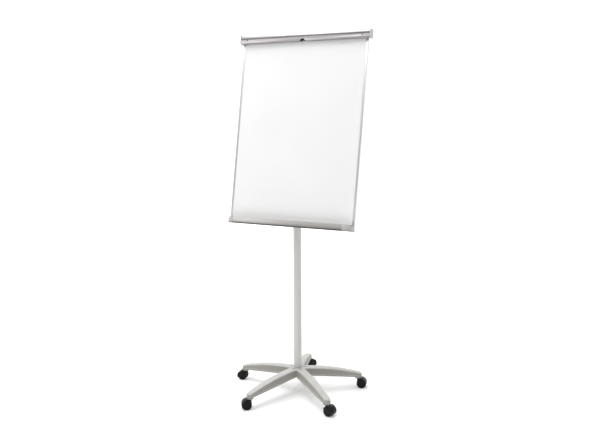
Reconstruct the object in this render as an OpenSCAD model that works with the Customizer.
// Mobile flipchart easel: a tilting whiteboard with a paper clamp and a pen
// tray, on a telescopic column and a five-arm star base with twin-wheel castors.
// Millimetres. +Z is up, the board faces -Y, and the origin is on the floor
// under the column's axis.

/* [Board] */
// Width over the board's side frames
board_w = 700; // [560:10:900]
// Height of the panel, from the tray floor to the top rail
board_h = 980; // [840:10:1240]
// Depth of the side frames, front to back
frame_depth = 18; // [16:0.5:24]
// Width of the frame's front face
frame_face = 12; // [9:0.5:16]
// Wall of the frame profile
frame_wall = 1.5; // [1.2:0.1:2]
// Thickness of the enamelled writing sheet
sheet_t = 0.8; // [0.6:0.1:1.2]
// Thickness of the back sheet
back_t = 0.5; // [0.4:0.1:1]
// Lean of the board from upright at rest
rest_tilt = 11; // [5:0.5:16]

/* [Tilt joint] */
// Height of the tilt axis above the floor
pivot_z = 1063; // [1030:1:1120]
// Distance of the tilt axis behind the board's front face
pivot_back = 62; // [61:0.5:70]
// Distance of the tilt axis above the bottom of the panel
pivot_up = 170; // [160:5:240]
// Diameter of the tilt bolt
tilt_bolt_d = 8; // [6:0.5:10]
// Width of the head's lug
lug_w = 24; // [20:1:28]
// Radius of the lug's rounded end
lug_r = 14; // [12:0.5:15]
// Thickness of each friction washer
washer_t = 1; // [0.5:0.25:2]
// Thickness of the bracket's plates
bracket_t = 4; // [3:0.5:5]

/* [Column] */
// Outer diameter of the fixed tube
column_d = 42; // [36:0.5:46]
// Wall of the fixed tube
column_wall = 2; // [1.5:0.25:2.5]
// Number of shallow flutes down the fixed tube
flute_count = 10; // [6:1:12]
// Depth of each flute
flute_depth = 0.7; // [0.4:0.1:0.9]
// Height of the fixed tube's top end above the floor
column_top = 922; // [860:2:930]
// Wall of the guide bush
bush_wall = 1.7; // [1.2:0.1:2.5]
// Wall of the inner tube
inner_wall = 1.6; // [1.2:0.1:2]
// Length of the inner tube
inner_len = 368; // [330:2:400]
// Outer diameter of the height collar
collar_d = 54; // [52:0.5:58]
// Height of the height collar
collar_h = 48; // [44:1:52]

/* [Clamping knobs] */
// Diameter over the lobes of a knob
knob_d = 40; // [34:1:46]
// Thickness of a knob
knob_t = 15; // [12:1:20]
// Number of lobes
lobe_count = 5; // [5:1:7]
// Diameter of the height knob's stud
stud_d = 8; // [6:0.5:9]

/* [Star base] */
// Distance from the column's axis to each castor's swivel axis
arm_reach = 331; // [280:1:390]
// Direction of the first arm, in degrees from +X
first_arm = 177; // [170:0.5:184]
// Height of the base's top at the column
hub_top = 132; // [120:1:140]
// Height of an arm's top at its tip
tip_top = 86; // [80:1:94]
// Height of the lower edge at the column
hub_bottom = 95; // [84:1:100]
// Height of the lower edge at the tip
tip_bottom = 62; // [58:0.5:66]
// Width of an arm at the column
arm_root_w = 56; // [48:1:62]
// Width of an arm at its tip
arm_tip_w = 40; // [36:1:44]
// Wall of the moulding
star_wall = 4; // [3:0.25:5]
// Outer diameter of the boss that holds the column
hub_boss_d = 60; // [54:1:66]
// Length of each slot round the column
slot_len = 16; // [10:1:18]
// Width of each slot round the column
slot_w = 6; // [4:0.5:7]

/* [Castors] */
// Wheel diameter
wheel_d = 50; // [44:1:52]
// Width of one wheel
wheel_w = 12.5; // [10:0.5:14]
// Distance from the swivel axis to the axle
castor_trail = 18; // [15:0.5:20]
// Thickness of the hood over the wheels
hood_wall = 1.6; // [1.2:0.1:2]
// Diameter of the axle
axle_d = 6; // [5:0.5:7]
// Diameter of the stem in the base
stem_d = 11; // [9:0.5:12]
// Diameter of the stem's journal in the housing
journal_d = 8; // [6:0.5:8.5]

/* [Pen tray] */
// Depth of the tray in front of the board
tray_depth = 48; // [36:1:56]
// Height of the front lip at its ends
lip_end_h = 33; // [26:1:40]
// Height of the front lip in the middle
lip_mid_h = 16; // [10:1:22]
// Thickness of the tray's walls
tray_wall = 2.5; // [2:0.25:3.5]
// Radius of the tray's rounded ends, seen from above
tray_round = 45; // [30:1:48]

/* [Clamp bar] */
// Reach of the rail and bar past each side of the panel
clamp_over = 10; // [2:1:20]
// Thickness of each end cap
cap_t = 5; // [3:0.5:8]
// Distance from the bar's top edge to its lower edge
clamp_h = 46; // [42:1:52]
// How far the bar stands in front of the board
clamp_front = 18; // [17:0.5:22]
// Thickness of the bar's skin
clamp_skin = 1.8; // [1.5:0.1:2.2]
// Diameter of the bar's hinge pins
pin_d = 4.4; // [3.6:0.2:4.6]
// Radius of the finger notch in the bar's lower edge
notch_r = 8.5; // [7:0.5:10]
// Radial thickness of the grip insert round the notch
grip_t = 4.5; // [3:0.5:6]

/* [Paper hooks] */
// Diameter of each paper peg
peg_d = 8; // [6:0.5:8]
// Distance from the middle to each hook
hook_offset = 170; // [120:5:190]
// Length of a hook's slider
hook_w = 24; // [18:1:30]

/* [Hidden] */

$fn = 64;
eps = 0.01;          // reach of a cut past a face
fit = 0.3;           // gap between loose neighbours
slip = 0.1;          // radial gap of a running fit
snug = 0.05;         // radial gap of an assembled fit

// Finishes
grey_plastic = [0.82, 0.82, 0.80];
aluminium = [0.80, 0.80, 0.79];
steel = [0.62, 0.63, 0.65];
black = [0.08, 0.08, 0.09];
white = [0.95, 0.96, 0.96];

// Star base
arm_count = 5;
arm_step = 360 / arm_count;
arm_drop = hub_top - tip_top;
dome_r = (arm_reach * arm_reach + arm_drop * arm_drop) / (2 * arm_drop);
castor_h = wheel_d / 2 + hood_r(0) + fit;
boss_bottom = castor_h + 1.5;
tip_boss_d = arm_tip_w - 4;
stem_socket = tip_top - star_wall - boss_bottom;
rib_t = 3;
foot_z = hub_bottom + 1;          // underside of the column tube
floor_t = 10;                     // floor of the column's socket
slot_start = column_d / 2 + 6;
bolt_d = 10;
bolt_len = 37;
bolt_head_d = 17;
bolt_head_h = 6;
bolt_flange_d = 22;
bolt_flange_t = 2;

// Column
column_r = column_d / 2;
column_ri = column_r - column_wall;
bush_r = column_ri - snug;
inner_r = bush_r - bush_wall - slip;
inner_ri = inner_r - inner_wall;
bush_len = 55;
bush_flange = 2;
slider_len = 40;
plug_len = 36;
collar_bottom = column_top + bush_flange + 4 - collar_h / 2;
collar_top = collar_bottom + collar_h;
knob_axis_z = column_top + bush_flange + (collar_top - column_top - bush_flange) / 2;
shoe_t = 3;

// Head and bracket
head_neck = 28;                   // from the tilt axis down to the inner tube's end
inner_top = pivot_z - head_neck;
inner_bottom = inner_top - inner_len;
spine_depth = 12;
spine_t = 1.5;
spine_w = 40;
spine_flange = 18;
spine_back = frame_depth - frame_wall + spine_depth;
spine_low = 20;
spine_end_gap = 20;
screw_x = spine_w / 2 + spine_flange / 2;
screw_d = 3.5;
screw_len = 12;
spine_screw_rows = [0.06, 0.35, 0.65, 0.94];   // as shares of the panel's height
bracket_low = 45;                 // reach of the bracket's foot below the axis
bracket_high = 45;                // and above it
cheek_h = 36;
cheek_x = lug_w / 2 + washer_t;
bracket_screw_d = 5;
bracket_screw_x = spine_w / 4;
bracket_screw_z = (bracket_low + cheek_h / 2) / 2;

// Castors
castor_half = 8;                  // from the middle to a wheel's inner face
castor_rib = 7;                   // half width of the housing's middle
stem_boss_r = 7.5;
hood_half = castor_half + fit + wheel_w + fit;
wheel_skin = 1;                   // closed end of a wheel's bore

// Panel stack, front to back
sheet_y = frame_wall;
core_y = sheet_y + sheet_t;
back_y = frame_depth - frame_wall - back_t;
stack_w = board_w - 2 * frame_wall - 2 * snug;

// Tray
tray_straight = board_w - 2 * tray_round;
tray_front = tray_depth + tray_wall;
scoop_depth = lip_end_h - lip_mid_h;
scoop_half = tray_straight / 2;
scoop_r = (scoop_half * scoop_half + scoop_depth * scoop_depth) / (2 * scoop_depth);
tray_back_h = 16;
tray_groove_w = 2;                // groove in the floor along the panel's foot
tray_groove_d = 0.8;
tray_screw_x = board_w / 2 - frame_face - 7;

// Clamp
clamp_len = board_w + 2 * clamp_over;   // between the end caps
rail_t = 5.5;                     // thickness of the rail's front flange
rail_top = 2;                     // thickness of the web over the panel
rail_low = board_h - 34;
rail_back_h = 18;
channel_h = 15;
channel_z = board_h - 19;
channel_in = 1.5;                 // wall between the channel and the panel
slot_h = peg_d + 2;
hinge_y = -10;
hinge_z = board_h + 5;
hinge_r = 5;
clamp_top = hinge_z + hinge_r;
clamp_low = clamp_top - clamp_h;
bar_len = clamp_len - 2 * fit;
pin_reach = 45;
spring_wire = 1;
spring_r = pin_d / 2 + 0.3 + spring_wire / 2;
spring_bore_r = spring_r + spring_wire / 2 + 0.25;
spring_turns = 6;
spring_len = 12;
spring_bore_len = spring_len + 2;
clamp_screw_x = clamp_len / 2 - 38;
clamp_screw_z = clamp_low + 17;
clamp_screw_d = 3;
slide_gap = 0.2;                  // play of a hook's slider in the channel's depth
peg_tip = rail_t + 6.5;

// Radius of the castor's hood outside (0) and inside (1)
function hood_r(inside) = wheel_d / 2 + fit + (1 - inside) * hood_wall;

// Angle of one arm and of its castor's trail
function arm_angle(i) = first_arm + arm_step * i;

// ---------------------------------------------------------------- placement

// Places a part drawn on the upright board, whose front face is y = 0 and
// whose bottom edge is z = 0, where the tilted board really stands.
module on_board() {
    translate([0, 0, pivot_z]) rotate([-rest_tilt, 0, 0])
        translate([0, -pivot_back, -pivot_up]) children();
}

// Places a part drawn at a castor's swivel axis, trailing along +X.
module at_castor(i) {
    rotate([0, 0, arm_angle(i)]) translate([arm_reach, 0, 0])
        rotate([0, 0, trail_turn(i)]) children();
}

// The castors were last rolled to the side, so each trails a little off its arm.
function trail_turn(i) = [10, -35, 25, -20, -40][i];

// Prism along X of a profile drawn as (y, z).
module along_x(length) {
    rotate([90, 0, 90]) translate([0, 0, -length / 2]) linear_extrude(length) children();
}

// Rod along Y from y = 0 towards +Y.
module rod_y(r, length) { rotate([-90, 0, 0]) cylinder(r = r, h = length); }

// Pan-head screw whose head sits on y = 0 and whose shank runs towards -Y.
module pan_screw(d, length) {
    rod_y(d, 0.55 * d);
    rotate([90, 0, 0]) cylinder(d = d, h = length);
}

// ---------------------------------------------------------------- star base

// Dome that every arm's top lies on, moved in by a wall.
module dome(inset) {
    translate([0, 0, hub_top - dome_r]) sphere(r = dome_r - inset, $fn = 720);
}

// Plan of an arm: tapered sides and a round tip, moved in by a wall.
module arm_plan(inset) {
    root = arm_root_w / 2 - inset;
    tip = arm_tip_w / 2 - inset;
    polygon([[0, -root], [arm_reach, -tip], [arm_reach, tip], [0, root]]);
    translate([arm_reach, 0]) circle(r = tip);
}

// All five arms under the dome, from the floor up, moved in by a wall.
module star_solid(inset) {
    intersection() {
        linear_extrude(hub_top + 1) for (i = [0 : arm_count - 1]) rotate(arm_angle(i))
            arm_plan(inset);
        dome(inset);
    }
}

// Everything below the arms' sloping lower edges.
module under_arms() {
    far = arm_reach + arm_tip_w;
    edge_slope = (hub_bottom - tip_bottom) / arm_reach;
    cylinder(r = far, h = hub_bottom - far * edge_slope);
    translate([0, 0, hub_bottom - far * edge_slope])
        cylinder(r1 = far, r2 = bolt_d, h = (far - bolt_d) * edge_slope);
}

module base_star() {
    color(grey_plastic) difference() {
        union() {
            difference() {
                union() {
                    difference() { star_solid(0); star_solid(star_wall); }
                    for (i = [0 : arm_count - 1]) rotate([0, 0, arm_angle(i)]) arm_rib();
                }
                under_arms();
            }
            translate([0, 0, hub_bottom - floor_t])
                cylinder(d = hub_boss_d, h = hub_top - hub_bottom + floor_t - star_wall / 2);
            for (i = [0 : arm_count - 1]) rotate([0, 0, arm_angle(i)]) intersection() {
                translate([arm_reach, 0, boss_bottom]) cylinder(d = tip_boss_d, h = hub_top);
                dome(star_wall / 2);
            }
        }
        for (i = [0 : arm_count - 1]) rotate([0, 0, arm_angle(i)]) {
            slot_cut();
            translate([arm_reach, 0, boss_bottom - eps])
                cylinder(d = stem_d + 2 * snug, h = stem_socket);
        }
        translate([0, 0, foot_z]) cylinder(r = column_r + snug, h = hub_top);
        translate([0, 0, hub_bottom - floor_t - eps])
            cylinder(d = bolt_d + 2 * snug, h = floor_t + 5);
    }
}

// Upright web under an arm, from past the slot to the tip's boss.
module arm_rib() {
    start = slot_start + slot_len + rib_t;
    intersection() {
        translate([start, -rib_t / 2, boss_bottom]) cube([arm_reach - start, rib_t, hub_top]);
        dome(star_wall / 2);
    }
}

// Oblong cut through the top skin, from near the column outwards along an arm.
module slot_cut() {
    low = hub_top - 2 * star_wall;
    near = slot_start + slot_w / 2;
    far = slot_start + slot_len - slot_w / 2;
    translate([near, -slot_w / 2, low]) cube([far - near, slot_w, 3 * star_wall]);
    for (x = [near, far]) translate([x, 0, low]) cylinder(d = slot_w, h = 3 * star_wall);
}

// Flanged hex bolt that draws the column's foot down into its socket.
module base_bolt() {
    color(steel) translate([0, 0, hub_bottom - floor_t]) {
        translate([0, 0, -bolt_flange_t]) cylinder(d = bolt_flange_d, h = bolt_flange_t);
        translate([0, 0, -bolt_flange_t - bolt_head_h])
            cylinder(d = bolt_head_d, h = bolt_head_h, $fn = 6);
        cylinder(d = bolt_d, h = bolt_len);
    }
}

// ------------------------------------------------------------------ castors

module castor_stems() {
    color(steel) for (i = [0 : arm_count - 1]) at_castor(i) {
        translate([0, 0, boss_bottom]) cylinder(d = stem_d, h = stem_socket - fit);
        translate([0, 0, castor_h + fit]) cylinder(d = 18, h = boss_bottom - castor_h - fit);
        translate([0, 0, castor_h - 19]) cylinder(d = journal_d, h = 19 + 2 * fit);
    }
}

// Housing of a castor: a middle rib with the stem's boss, and a hood.
module castor_housing() {
    r = hood_r(0);
    color(black) difference() {
        union() {
            // hood
            translate([castor_trail, 0, wheel_d / 2]) rotate([90, 0, 0]) difference() {
                translate([0, 0, -hood_half - hood_wall])
                    cylinder(r = r, h = 2 * (hood_half + hood_wall));
                translate([0, 0, -hood_half]) cylinder(r = hood_r(1), h = 2 * hood_half);
                // open below a line that falls towards the tread
                rotate([0, 0, -30]) translate([-2 * r, -2 * r, -hood_half - 2 * hood_wall])
                    cube([4 * r, 2 * r, 2 * (hood_half + 2 * hood_wall)]);
            }
            // middle rib
            translate([castor_trail, 0, wheel_d / 2]) rotate([90, 0, 0])
                translate([0, 0, -castor_rib / 2]) difference() {
                    cylinder(r = r, h = castor_rib);
                    rotate([0, 0, -30]) translate([-2 * r, -3 * r - 9, -1])
                        cube([4 * r, 3 * r, castor_rib + 2]);
                }
            // stem boss
            translate([0, 0, castor_h - 24]) cylinder(r = stem_boss_r, h = 24);
            // web from the boss to the rib
            translate([0, -castor_rib / 2, castor_h - 24])
                cube([castor_trail, castor_rib, 22]);
        }
        translate([0, 0, castor_h - 20]) cylinder(d = journal_d + 2 * slip, h = 30);
        translate([castor_trail, 0, wheel_d / 2]) rotate([90, 0, 0])
            translate([0, 0, -50]) cylinder(d = axle_d + 2 * snug, h = 100);
    }
}

module castor_axle() {
    half = castor_half + wheel_w - wheel_skin - fit;
    color(steel) translate([castor_trail, 0, wheel_d / 2]) rotate([90, 0, 0])
        translate([0, 0, -half]) cylinder(d = axle_d, h = 2 * half);
}

// One wheel on the side given by sign, +1 left of the trail, -1 right of it:
// a tread with rounded shoulders, a dished web and a hub.
module castor_wheel(side) {
    r = wheel_d / 2;
    shoulder = 2.5;
    color(black) translate([castor_trail, side * castor_half, r])
        rotate([-90 * side, 0, 0]) difference() {
            union() {
                translate([0, 0, shoulder]) cylinder(r = r, h = wheel_w - 2 * shoulder);
                cylinder(r = r - shoulder, h = wheel_w);
                for (z = [shoulder, wheel_w - shoulder]) translate([0, 0, z])
                    rotate_extrude() translate([r - shoulder, 0]) circle(r = shoulder, $fn = 32);
            }
            // the recess in the inner face leaves the tread ring, web and hub
            translate([0, 0, -eps]) difference() {
                cylinder(r = r - 5, h = wheel_w - 4);
                cylinder(r = 6.5, h = wheel_w);
            }
            translate([0, 0, -eps]) cylinder(d = axle_d + 2 * slip, h = wheel_w - wheel_skin + eps);
        }
}

// ------------------------------------------------------------------- column

module column_tube() {
    color(aluminium) translate([0, 0, foot_z]) difference() {
        cylinder(r = column_r, h = column_top - foot_z, $fn = 96);
        translate([0, 0, -eps]) cylinder(r = column_ri, h = column_top - foot_z + 2 * eps);
        for (k = [0 : flute_count - 1]) rotate([0, 0, (k + 0.5) * 360 / flute_count])
            translate([column_r + 2 - flute_depth, 0, hub_top - foot_z + 2])
                cylinder(r = 2, h = collar_bottom - hub_top - 4, $fn = 24);
    }
}

module column_foot_plug() {
    color(black) translate([0, 0, foot_z]) difference() {
        cylinder(r = column_ri - snug, h = 34);
        translate([0, 0, -eps]) cylinder(d = bolt_d + 2 * snug, h = 30);
    }
}

module column_bush() {
    color(black) difference() {
        union() {
            translate([0, 0, column_top - bush_len]) cylinder(r = bush_r, h = bush_len);
            translate([0, 0, column_top]) cylinder(r = column_r, h = bush_flange);
        }
        translate([0, 0, column_top - bush_len - eps])
            cylinder(r = inner_r + slip, h = bush_len + bush_flange + 2 * eps);
    }
}

module height_collar() {
    color(black) difference() {
        union() {
            translate([0, 0, collar_bottom]) cylinder(d = collar_d, h = collar_h);
            translate([0, 0, knob_axis_z]) rod_y(stud_d / 2 + 4, collar_d / 2 + 4);
        }
        translate([0, 0, collar_bottom - eps])
            cylinder(r = column_r + snug, h = column_top + bush_flange - collar_bottom + eps);
        translate([0, 0, collar_bottom]) cylinder(r = inner_r + fit, h = collar_h + eps);
        translate([0, 0, knob_axis_z]) rod_y(stud_d / 2 + snug, collar_d);
    }
}

// Shoe that the stud presses on the inner tube.
module height_shoe() {
    color(black) translate([0, inner_r + fit, knob_axis_z]) rod_y(stud_d / 2, shoe_t);
}

module height_stud() {
    color(steel) translate([0, inner_r + fit + shoe_t, knob_axis_z])
        rod_y(stud_d / 2, collar_d / 2 + 6 + knob_t - inner_r - fit - shoe_t - 4);
}

// Star knob from z = 0 up, with a blind bore for its stud.
module star_knob(bore_d, bore_depth) {
    lobe_r = knob_d / 6;
    difference() {
        union() {
            cylinder(r = knob_d / 2 - lobe_r + 1.2, h = knob_t);
            for (k = [0 : lobe_count - 1]) rotate([0, 0, k * 360 / lobe_count])
                translate([knob_d / 2 - lobe_r, 0, 2]) cylinder(r = lobe_r, h = knob_t - 3);
        }
        translate([0, 0, -eps]) cylinder(d = bore_d + 2 * snug, h = bore_depth);
    }
}

module height_knob() {
    color(black) translate([0, collar_d / 2 + 6, knob_axis_z])
        rotate([-90, 0, 0]) star_knob(stud_d, knob_t - 3.8);
}

module inner_tube() {
    color(steel) translate([0, 0, inner_bottom]) difference() {
        cylinder(r = inner_r, h = inner_len, $fn = 96);
        translate([0, 0, -eps]) cylinder(r = inner_ri, h = inner_len + 2 * eps);
    }
}

// Slider at the inner tube's foot: a plug inside it and a runner below it.
module inner_slider() {
    color(black) difference() {
        union() {
            translate([0, 0, inner_bottom]) cylinder(r = inner_ri - snug, h = 25);
            translate([0, 0, inner_bottom - slider_len])
                cylinder(r = column_ri - slip, h = slider_len);
        }
        translate([0, 0, inner_bottom - slider_len - eps]) cylinder(r = 8, h = slider_len + 30);
    }
}

// -------------------------------------------------------------- tilt joint

module tilt_head() {
    color(black) difference() {
        union() {
            translate([0, 0, inner_top - plug_len]) cylinder(r = inner_ri - snug, h = plug_len);
            translate([0, 0, inner_top]) cylinder(r = inner_r + 1, h = 4);
            translate([-lug_w / 2, -lug_r + 2, inner_top + 3])
                cube([lug_w, 2 * lug_r - 4, head_neck - 3]);
            translate([-lug_w / 2, 0, pivot_z]) rotate([0, 90, 0])
                cylinder(r = lug_r, h = lug_w);
        }
        translate([-lug_w, 0, pivot_z]) rotate([0, 90, 0])
            cylinder(d = tilt_bolt_d + 2 * slip, h = 2 * lug_w);
    }
}

module tilt_washers() {
    color(steel) for (s = [-1, 1])
        translate([s * (lug_w / 2 + washer_t / 2), 0, pivot_z]) rotate([0, 90, 0]) difference() {
            cylinder(r = lug_r - 2, h = washer_t, center = true);
            cylinder(d = tilt_bolt_d + 2 * slip, h = 2 * washer_t, center = true);
        }
}

// Bracket on the board's spine: a foot plate and two cheeks round the lug.
module board_bracket() {
    color(black) on_board() difference() {
        union() {
            translate([-spine_w / 2, spine_back, pivot_up - bracket_low])
                cube([spine_w, bracket_t, bracket_low + bracket_high]);
            for (s = [-1, 1]) translate([s * (cheek_x + bracket_t / 2), 0, 0]) {
                translate([-bracket_t / 2, spine_back, pivot_up - cheek_h / 2])
                    cube([bracket_t, pivot_back - spine_back, cheek_h]);
                translate([0, pivot_back, pivot_up]) rotate([0, 90, 0])
                    cylinder(d = cheek_h, h = bracket_t, center = true);
            }
        }
        translate([0, pivot_back, pivot_up]) rotate([0, 90, 0])
            cylinder(d = tilt_bolt_d + 2 * snug, h = 4 * cheek_x, center = true);
        bracket_holes(bracket_screw_d + 2 * snug);
    }
}

module at_bracket_screws() {
    for (x = [-1, 1], z = [-1, 1])
        translate([x * bracket_screw_x, spine_back + bracket_t, pivot_up + z * bracket_screw_z])
            children();
}

module bracket_holes(d) {
    at_bracket_screws() rotate([90, 0, 0]) translate([0, 0, -1]) cylinder(d = d, h = 20);
}

module bracket_screws() {
    color(steel) on_board() at_bracket_screws() pan_screw(bracket_screw_d, bracket_t + spine_t + 3);
}

module tilt_bolt() {
    color(steel) translate([0, 0, pivot_z]) rotate([0, 90, 0]) {
        translate([0, 0, -cheek_x - bracket_t - 3.5]) cylinder(d = 2 * tilt_bolt_d, h = 3.5);
        translate([0, 0, -cheek_x - bracket_t - 1])
            cylinder(d = tilt_bolt_d, h = 2 * (cheek_x + bracket_t) + 1 + knob_t - 3.5);
    }
}

module tilt_knob() {
    color(black) translate([cheek_x + bracket_t + fit, 0, pivot_z])
        rotate([0, 90, 0]) star_knob(tilt_bolt_d, knob_t - 3);
}

// -------------------------------------------------------------------- board

module board_slab(y, thickness) {
    translate([-stack_w / 2, y, 0]) cube([stack_w, thickness, board_h]);
}

module writing_sheet() { color(white) on_board() board_slab(sheet_y, sheet_t); }

module at_spine_screws() {
    for (x = [-1, 1], f = spine_screw_rows)
        translate([x * screw_x, frame_depth - frame_wall + spine_t, f * board_h]) children();
}

module screw_holes(d) {
    at_spine_screws() rotate([90, 0, 0]) translate([0, 0, -2]) cylinder(d = d, h = screw_len + 3);
}

module board_core() {
    color("tan") on_board() difference() {
        board_slab(core_y, back_y - core_y);
        screw_holes(screw_d + 2 * snug);
    }
}

module back_sheet() {
    color(aluminium) on_board() difference() {
        board_slab(back_y, back_t);
        screw_holes(screw_d + 2 * snug);
    }
}

// U-profile that wraps one side edge of the panel, open towards -X.
module frame_profile() {
    round_r = 1.4;
    difference() {
        union() {
            translate([-frame_face, 0]) square([frame_face - round_r, frame_depth]);
            translate([-round_r - eps, round_r]) square([round_r + eps, frame_depth - 2 * round_r]);
            for (y = [round_r, frame_depth - round_r])
                translate([-round_r, y]) circle(r = round_r, $fn = 32);
        }
        translate([-frame_face - 1, frame_wall])
            square([frame_face + 1 - frame_wall, frame_depth - 2 * frame_wall]);
    }
}

module frame_side() {
    translate([board_w / 2, 0, 0]) linear_extrude(board_h) frame_profile();
}

module frame_right() { color(aluminium) on_board() frame_side(); }

module frame_left() { color(aluminium) on_board() mirror([1, 0, 0]) frame_side(); }

// Hat-section spine up the middle of the back.
module board_spine() {
    seat = frame_depth - frame_wall;
    color(aluminium) on_board() difference() {
        translate([0, 0, spine_low]) linear_extrude(board_h - spine_low - spine_end_gap) union() {
            for (s = [-1, 1]) {
                translate([s * (spine_w + spine_flange) / 2 - spine_flange / 2, seat])
                    square([spine_flange, spine_t]);
                translate([s * (spine_w / 2 - spine_t / 2) - spine_t / 2, seat])
                    square([spine_t, spine_depth]);
            }
            translate([-spine_w / 2, seat + spine_depth - spine_t]) square([spine_w, spine_t]);
        }
        screw_holes(screw_d + 2 * snug);
        bracket_holes(bracket_screw_d + 2 * snug);
    }
}

module spine_screws() {
    color(steel) on_board() at_spine_screws() pan_screw(screw_d, screw_len);
}

// ----------------------------------------------------------------- pen tray

// Section of the tray as (y, z): back flange, floor under the panel with a
// groove along the panel's foot, and front lip.
module tray_section() {
    w = tray_wall;
    bend = 4;
    difference() {
        union() {
            translate([-tray_front + bend, -w]) square([tray_front - bend + frame_depth + w, w]);
            translate([frame_depth, -w]) square([w, tray_back_h + w]);
            translate([-tray_front, -w + bend]) square([w, lip_end_h - bend]);
            translate([-tray_front + bend, -w + bend]) circle(r = bend);
        }
        translate([-tray_front + bend, -w + bend]) circle(r = bend - w);
        translate([-tray_front + w, 0]) square([tray_front - w, lip_end_h]);
        translate([-tray_groove_w, -tray_groove_d]) square([tray_groove_w, w]);
    }
}

// The scoop that lowers the middle of the front lip.
module tray_scoop() {
    translate([0, -tray_front / 2, lip_mid_h - tray_wall + scoop_r]) rotate([90, 0, 0])
        cylinder(r = scoop_r, h = tray_front * 0.9, center = true, $fn = 720);
}

module pen_tray() {
    color(aluminium) on_board() difference() {
        along_x(tray_straight - 2 * fit) tray_section();
        intersection() {
            tray_scoop();
            translate([-board_w, -tray_front - 1, 0]) cube([2 * board_w, tray_wall + 2, 200]);
        }
    }
}

// Plan of a rounded tray end, from x = 0 outwards, moved in by a wall.
module cap_plan(inset) {
    intersection() {
        union() {
            translate([0, tray_round - tray_front]) circle(r = tray_round - inset);
            translate([0, tray_round - tray_front])
                square([tray_round - inset, tray_front - tray_round]);
        }
        translate([0, -tray_front]) square([tray_round, tray_front]);
    }
}

// Moulded end of the tray: floor, rounded wall that falls towards its corner,
// and a tongue behind the lip that takes the screw.
module tray_cap() {
    w = tray_wall;
    color(grey_plastic) difference() {
        union() {
            difference() {
                translate([0, 0, -w]) linear_extrude(lip_end_h) cap_plan(0);
                translate([0, 0, 0]) linear_extrude(lip_end_h + 1) cap_plan(w);
            }
            // floor under the panel and hook behind it
            translate([0, -eps, -w]) cube([tray_round, frame_depth + w + eps, w]);
            translate([0, frame_depth, -w]) cube([tray_round, w, tray_back_h + w]);
            // tongue against the board's face
            translate([0, -w, 0]) cube([tray_round - frame_wall, w, lip_end_h - w]);
        }
        // the wall's top falls away to the outer corner
        translate([tray_round * 0.55, -tray_front - 1, lip_end_h - w + eps]) rotate([0, 28, 0])
            cube([2 * tray_round, tray_front - w, lip_end_h]);
        translate([tray_screw_x - tray_straight / 2, 0, lip_end_h - 12]) rotate([90, 0, 0])
            translate([0, 0, -20]) cylinder(d = 4 + 2 * snug, h = 40);
    }
}

module tray_cap_right() { on_board() translate([tray_straight / 2, 0, 0]) tray_cap(); }

module tray_cap_left() { on_board() mirror([1, 0, 0]) translate([tray_straight / 2, 0, 0]) tray_cap(); }

module tray_screws() {
    color(steel) on_board() for (s = [-1, 1])
        translate([s * tray_screw_x, -tray_wall, lip_end_h - 12]) rotate([0, 0, 180])
            pan_screw(4, tray_wall + frame_wall - 0.2);
}

// -------------------------------------------------------------------- clamp

// Section of the fixed rail as (y, z): a cap over the panel's top edge, with a
// channel for the paper hooks in its front flange.
module rail_section() {
    difference() {
        union() {
            translate([-rail_t, rail_low]) square([rail_t, board_h + rail_top - rail_low]);
            translate([-rail_t, board_h]) square([rail_t + frame_depth + rail_top, rail_top]);
            translate([frame_depth, board_h - rail_back_h])
                square([rail_top, rail_back_h + rail_top]);
        }
        translate([-rail_t + channel_in, channel_z - channel_h / 2])
            square([rail_t - 2 * channel_in, channel_h]);
        translate([-rail_t - 1, channel_z - slot_h / 2]) square([rail_t, slot_h]);
    }
}

module clamp_rail() { color(aluminium) on_board() along_x(clamp_len) rail_section(); }

// End cap of the rail: a plate over the rail's and the bar's ends.
module clamp_cap() {
    corner = 7;
    low = clamp_low - 0.5;
    high = clamp_top + 0.5;
    front = clamp_front + 0.5;
    back = frame_depth + rail_top + 1;
    translate([clamp_len / 2, 0, 0]) rotate([90, 0, 90]) linear_extrude(cap_t) difference() {
        union() {
            translate([-front + corner, low]) square([front + back - 2 * corner, high - low]);
            translate([-front, low + corner]) square([front + back, high - low - 2 * corner]);
            for (y = [-front + corner, back - corner], z = [low + corner, high - corner])
                translate([y, z]) circle(r = corner);
        }
        translate([hinge_y, hinge_z]) circle(r = pin_d / 2 + snug);
    }
}

module clamp_cap_right() { color(grey_plastic) on_board() clamp_cap(); }

module clamp_cap_left() { color(grey_plastic) on_board() mirror([1, 0, 0]) clamp_cap(); }

module clamp_pins() {
    color(steel) on_board() for (s = [-1, 1])
        translate([s * (clamp_len / 2 + cap_t - pin_reach / 2 - 0.5), hinge_y, hinge_z])
            rotate([0, 90, 0]) cylinder(d = pin_d, h = pin_reach, center = true);
}

// Closed coil of round wire along Z, with flat ends, as one swept tube.
module coil(r, wire, turns, length) {
    rings = turns * 16;
    sides = 8;
    pitch = length / turns;
    pts = [for (k = [0 : rings], s = [0 : sides - 1])
        let (a = k * 360 / 16, b = s * 360 / sides, q = r + wire / 2 * cos(b))
            [q * cos(a), q * sin(a), a / 360 * pitch + wire / 2 * sin(b)]];
    walls = [for (k = [0 : rings - 1], s = [0 : sides - 1])
        let (a = k * sides + s, b = k * sides + (s + 1) % sides)
            [a, b, b + sides, a + sides]];
    ends = [[for (s = [sides - 1 : -1 : 0]) s], [for (s = [0 : sides - 1]) rings * sides + s]];
    polyhedron(pts, concat(walls, ends), convexity = 10);
}

module clamp_springs() {
    color(steel) on_board() for (s = [-1, 1])
        translate([s * (bar_len / 2 - spring_wire), hinge_y, hinge_z])
            rotate([0, -90 * s, 0]) coil(spring_r, spring_wire, spring_turns, spring_len);
}

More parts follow.
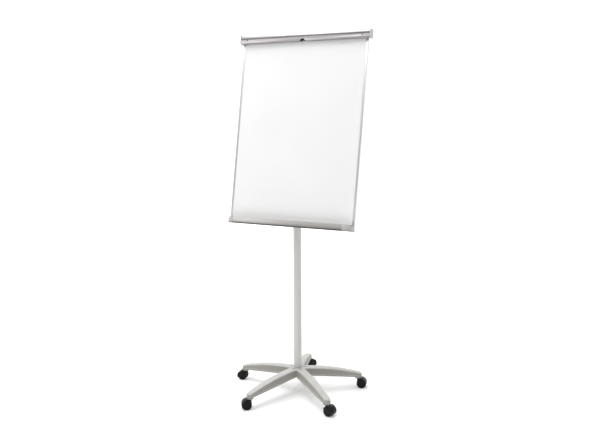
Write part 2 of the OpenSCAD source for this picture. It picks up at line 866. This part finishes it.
// Section of the clamp bar as (y, z): hinge barrel, two faces with a groove
// between them, and a lip that turns in to grip the paper.
module bar_section() {
    f = -clamp_front;
    t = clamp_skin;
    crown = 1.2;                              // how far the faces bow out
    low = clamp_low;
    groove_z = low + 0.55 * clamp_h;
    groove_half = 3;
    groove_deep = 2.6;
    neck = hinge_z - 1;
    lip_y = -rail_t - 2.2;
    difference() {
        union() {
            translate([hinge_y, hinge_z]) circle(r = hinge_r);
            polygon([[hinge_y - hinge_r * cos(30), hinge_z + hinge_r * sin(30)],
                     [f + crown, groove_z + 12], [f + 0.2, groove_z + groove_half],
                     [f + groove_deep, groove_z + groove_half - 1],
                     [f + groove_deep, groove_z - groove_half + 1],
                     [f + 0.2, groove_z - groove_half], [f, groove_z - 8], [f, low + 4],
                     [f + 1.2, low + 1.2], [f + 4, low], [lip_y, low],
                     [lip_y, low + t], [f + 4, low + t], [f + t + 0.9, low + t + 1],
                     [f + t, low + 5], [f + t, groove_z - groove_half - t],
                     [f + t + groove_deep, groove_z - groove_half],
                     [f + t + groove_deep, groove_z + groove_half],
                     [f + t + 0.4, groove_z + groove_half + t],
                     [f + crown + t, groove_z + 11],
                     [hinge_y - hinge_r * cos(40), neck - hinge_r * sin(40)],
                     [hinge_y, hinge_z]]);
        }
        translate([hinge_y, hinge_z]) circle(r = pin_d / 2 + slip);
    }
}

module clamp_bar() {
    color(aluminium) on_board() difference() {
        along_x(bar_len) bar_section();
        intersection() {
            translate([0, 0, clamp_low]) rotate([90, 0, 0])
                cylinder(r = notch_r + grip_t + snug, h = 60, center = true);
            translate([-50, -50, 0]) cube([100, 50 - rail_t, 2 * board_h]);
        }
        for (s = [-1, 1]) {
            translate([s * bar_len / 2, hinge_y, hinge_z]) rotate([0, -90 * s, 0])
                translate([0, 0, -1]) cylinder(r = spring_bore_r, h = spring_bore_len + 1);
            translate([s * clamp_screw_x, 0, clamp_screw_z]) rotate([90, 0, 0])
                cylinder(d = clamp_screw_d + 2 * snug, h = 40);
        }
    }
}

// Screws in the bar's front, one near each end.
module clamp_screws() {
    color(steel) on_board() for (s = [-1, 1])
        translate([s * clamp_screw_x, -clamp_front, clamp_screw_z]) rotate([0, 0, 180])
            pan_screw(clamp_screw_d, clamp_skin + 3);
}

// Half-round edging of the finger notch.
module clamp_grip() {
    color(black) on_board() intersection() {
        translate([0, -clamp_front - 0.6, clamp_low]) rotate([-90, 0, 0]) difference() {
            cylinder(r = notch_r + grip_t, h = clamp_front + 0.6 - rail_t - 2.2);
            translate([0, 0, -1]) cylinder(r = notch_r, h = clamp_front);
        }
        translate([-50, -50, clamp_low]) cube([100, 100, 100]);
    }
}

// Soft strip on the inside of the bar's lip.
module clamp_rubber() {
    strip_t = 1.9;
    half = bar_len / 2 - 20;
    gap = notch_r + grip_t + 1;
    color(black) on_board() for (s = [-1, 1])
        translate([s > 0 ? gap : -half, -rail_t - 2.2, clamp_low + 0.2])
            cube([half - gap, strip_t, clamp_skin + 2]);
}

// Paper hook: a slider in the rail's channel and a round peg.
module paper_hook() {
    slide_t = rail_t - 2 * channel_in - 2 * slide_gap;
    translate([-hook_w / 2, -rail_t + channel_in + slide_gap, channel_z - channel_h / 2 + fit])
        cube([hook_w, slide_t, channel_h - 2 * fit]);
    translate([0, -peg_tip, channel_z]) rod_y(peg_d / 2, peg_tip - rail_t + channel_in + slide_gap + eps);
}

module paper_hook_left() { color(steel) on_board() translate([-hook_offset, 0, 0]) paper_hook(); }

module paper_hook_right() { color(steel) on_board() translate([hook_offset, 0, 0]) paper_hook(); }

// -------------------------------------------------------------------- nodes

base_star();
base_bolt();
castor_stems();
for (i = [0 : arm_count - 1]) {
    name = str("castor_", i + 1);
    at_castor(i) castor_housing();
    at_castor(i) castor_axle();
    at_castor(i) castor_wheel(1);
    at_castor(i) castor_wheel(-1);
}
column_tube();
column_foot_plug();
column_bush();
height_collar();
height_shoe();
height_stud();
height_knob();
inner_tube();
inner_slider();
tilt_head();
tilt_washers();
board_bracket();
bracket_screws();
tilt_bolt();
tilt_knob();
board_spine();
spine_screws();
writing_sheet();
board_core();
back_sheet();
frame_left();
frame_right();
pen_tray();
tray_cap_left();
tray_cap_right();
tray_screws();
clamp_rail();
clamp_cap_left();
clamp_cap_right();
clamp_pins();
clamp_springs();
clamp_bar();
clamp_grip();
clamp_rubber();
clamp_screws();
paper_hook_left();
paper_hook_right();
